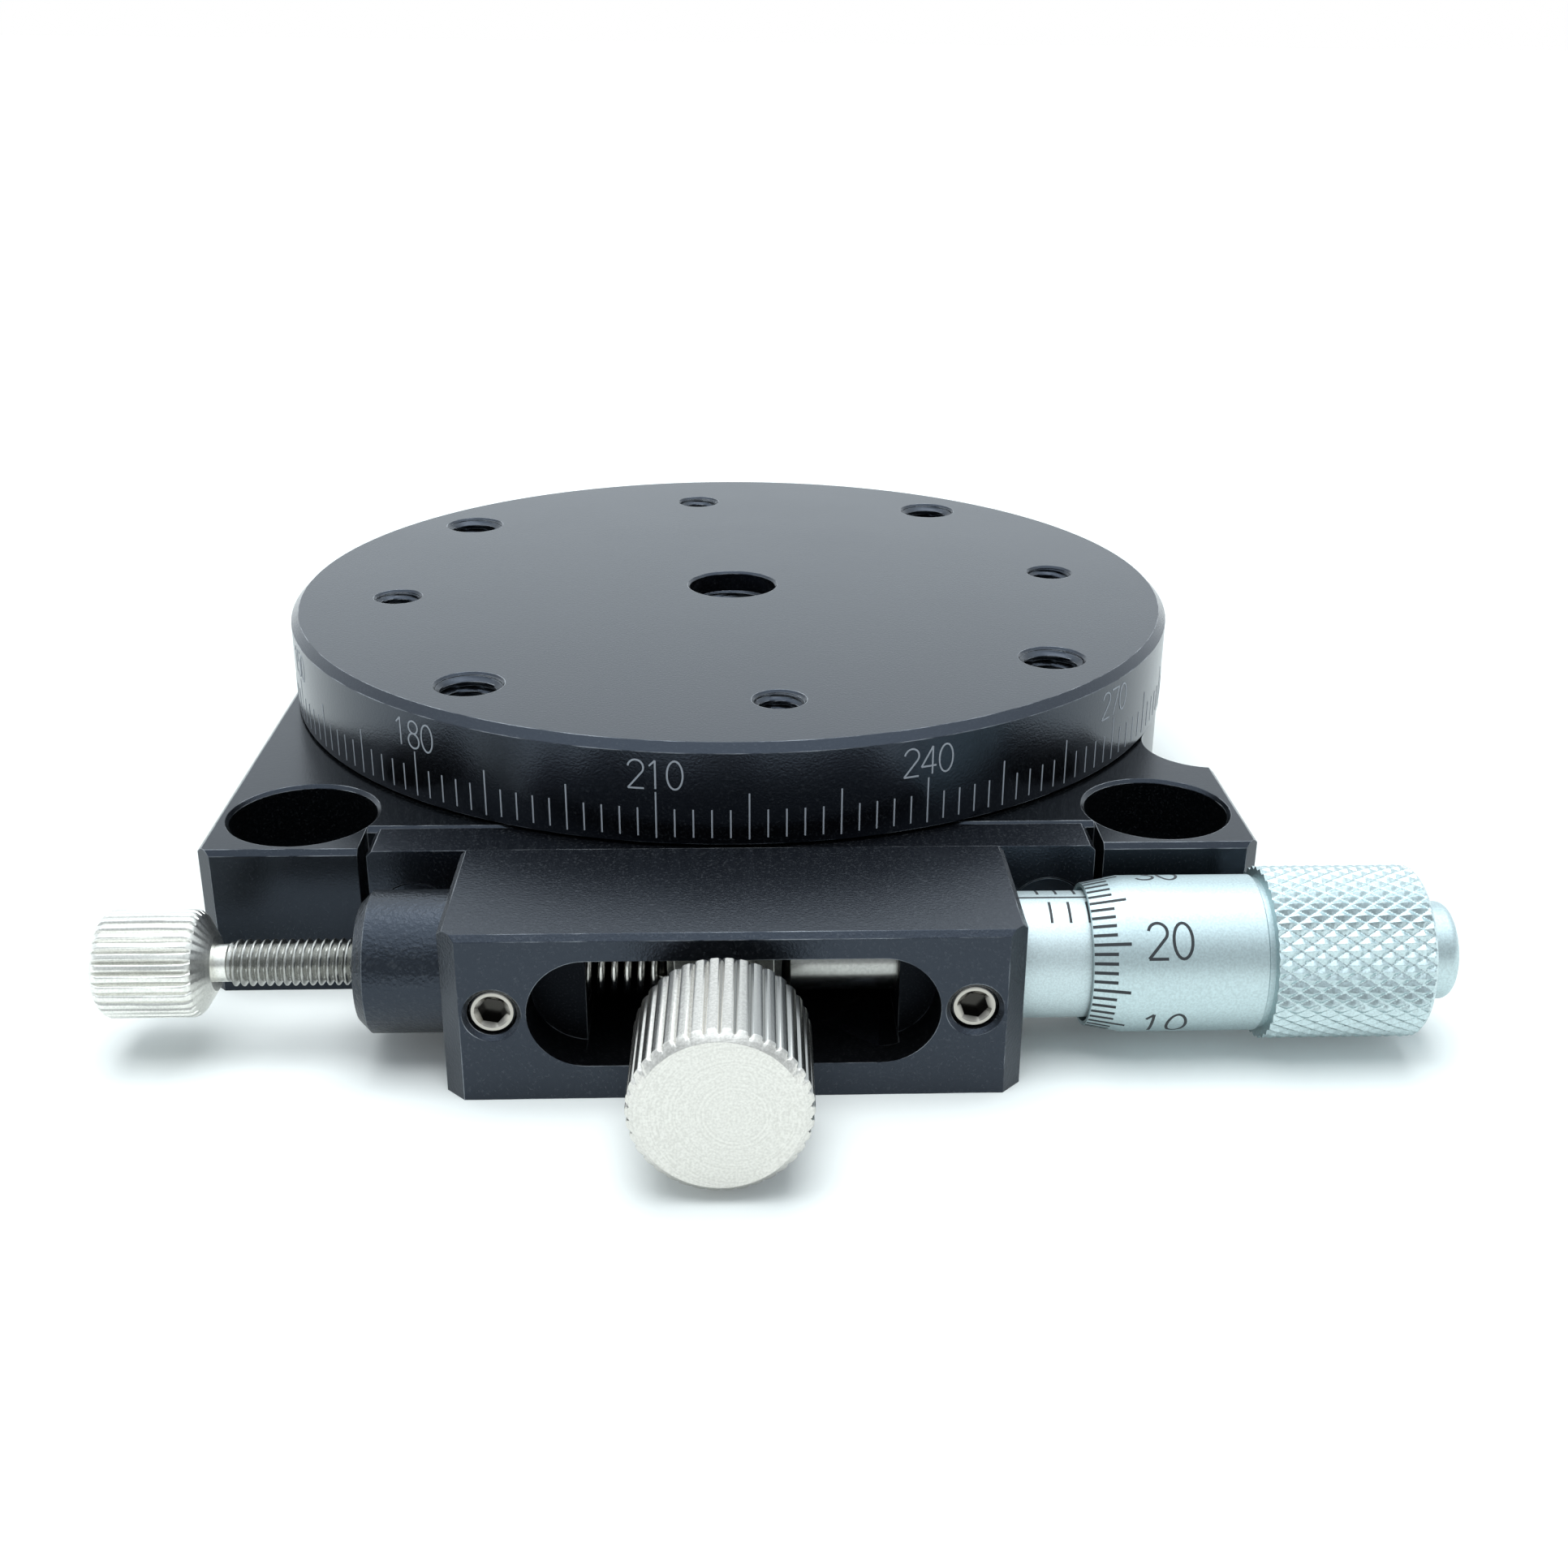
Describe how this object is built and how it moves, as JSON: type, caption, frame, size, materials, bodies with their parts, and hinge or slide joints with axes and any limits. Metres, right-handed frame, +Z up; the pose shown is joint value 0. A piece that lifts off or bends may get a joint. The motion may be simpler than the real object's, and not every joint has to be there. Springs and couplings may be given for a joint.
{
  "type": "manual rotation stage",
  "caption": "Manual rotation stage: round dial table on a bearing in a square base, turned by hand or finely by a side micrometer through a clamped tangent arm.",
  "frame": {"origin": "on the rotation axis of the table, in the plane of the mounting face under the base", "axes": "+Z up along the rotation axis, -Y towards the micrometer bracket and clamp knob, +X towards the micrometer thimble"},
  "size_m": [0.0719, 0.081, 0.015],
  "materials": {
    "black_anodised": "bead-blasted, black anodised",
    "satin_chrome": "satin",
    "stainless": "turned, bright",
    "nickel": "nickel plated",
    "black_oxide": "black oxide",
    "bearing_steel": "ground",
    "spring_steel": "drawn wire",
    "brass": "machined",
    "acetal": "machined"
  },
  "bodies": {
    "base": {"base_plate": "black_anodised", "bearing_post": "bearing_steel", "post_screws": "stainless", "bearing_inner_ring": "bearing_steel", "post_circlip": "black_oxide", "lower_thrust_washer": "acetal", "micrometer_bracket": "black_anodised", "bracket_screws": "black_oxide", "bracket_set_screws": "nickel", "micrometer_sleeve": "satin_chrome", "sleeve_nut": "satin_chrome", "spring_barrel": "black_anodised", "return_spring": "spring_steel"},
    "tangent_arm": {"clamp_ring": "black_anodised", "contact_block": "stainless"},
    "table": {"table_plate": "black_anodised", "bearing_outer_ring": "bearing_steel", "bearing_shields": "stainless", "hub_circlip": "black_oxide", "upper_thrust_washer": "acetal"},
    "ball_cage": {"bearing_balls": "bearing_steel", "bearing_cage": "brass"},
    "clamp_pad": {"clamp_pad": "brass"},
    "clamp_screw": {"clamp_screw": "stainless", "clamp_knob": "stainless"},
    "spindle": {"micrometer_spindle": "stainless"},
    "thimble": {"micrometer_thimble": "satin_chrome", "thimble_cap": "satin_chrome"},
    "lock_tip": {"lock_screw_tip": "brass"},
    "lock_screw": {"travel_lock_screw": "stainless"}
  },
  "joints": [
    {"name": "fine_adjust", "type": "hinge", "parent": "base", "child": "tangent_arm", "pos_m": [0, 0, 0.005], "axis": [0, 0, 1], "range_deg": [-4.4, 6], "deforming": ["return_spring"]},
    {"name": "coarse_rotation", "type": "hinge", "parent": "tangent_arm", "child": "table", "pos_m": [0, 0, 0.009], "axis": [0, 0, 1], "continuous": true},
    {"name": "ball_cage_rotation", "type": "hinge", "parent": "base", "child": "ball_cage", "pos_m": [0, 0, 0.0055], "axis": [0, 0, 1], "continuous": true},
    {"name": "spindle_travel", "type": "slide", "parent": "base", "child": "spindle", "axis": [1, 0, 0], "range_m": [-0.00275, 0.00375]},
    {"name": "thimble_turn", "type": "hinge", "parent": "spindle", "child": "thimble", "pos_m": [0.03, -0.0363, 0.0053], "axis": [1, 0, 0], "range_deg": [-1981, 2701]},
    {"name": "clamp_travel", "type": "slide", "parent": "tangent_arm", "child": "clamp_pad", "axis": [-0.0138, -0.9999, 0], "range_m": [0, 0.0005]},
    {"name": "clamp_turn", "type": "hinge", "parent": "clamp_pad", "child": "clamp_screw", "pos_m": [-0.00064, -0.0465, 0.005], "axis": [-0.0138, -0.9999, 0], "range_deg": [-1, 361]},
    {"name": "travel_lock_slide", "type": "slide", "parent": "base", "child": "lock_tip", "axis": [1, 0, 0], "range_m": [-0.003, 0.0024]},
    {"name": "travel_lock_turn", "type": "hinge", "parent": "lock_tip", "child": "lock_screw", "pos_m": [-0.03, -0.0363, 0.0053], "axis": [1, 0, 0], "range_deg": [-2401, 1921]}
  ],
  "couplings": [
    {"joint": "thimble_turn", "follows": "spindle_travel", "rad_per_m": 12566},
    {"joint": "fine_adjust", "follows": "spindle_travel", "rad_per_m": 27.548},
    {"joint": "ball_cage_rotation", "follows": "coarse_rotation", "ratio": 0.561},
    {"joint": "clamp_turn", "follows": "clamp_travel", "rad_per_m": 12566},
    {"joint": "travel_lock_turn", "follows": "travel_lock_slide", "rad_per_m": 13963}
  ]
}
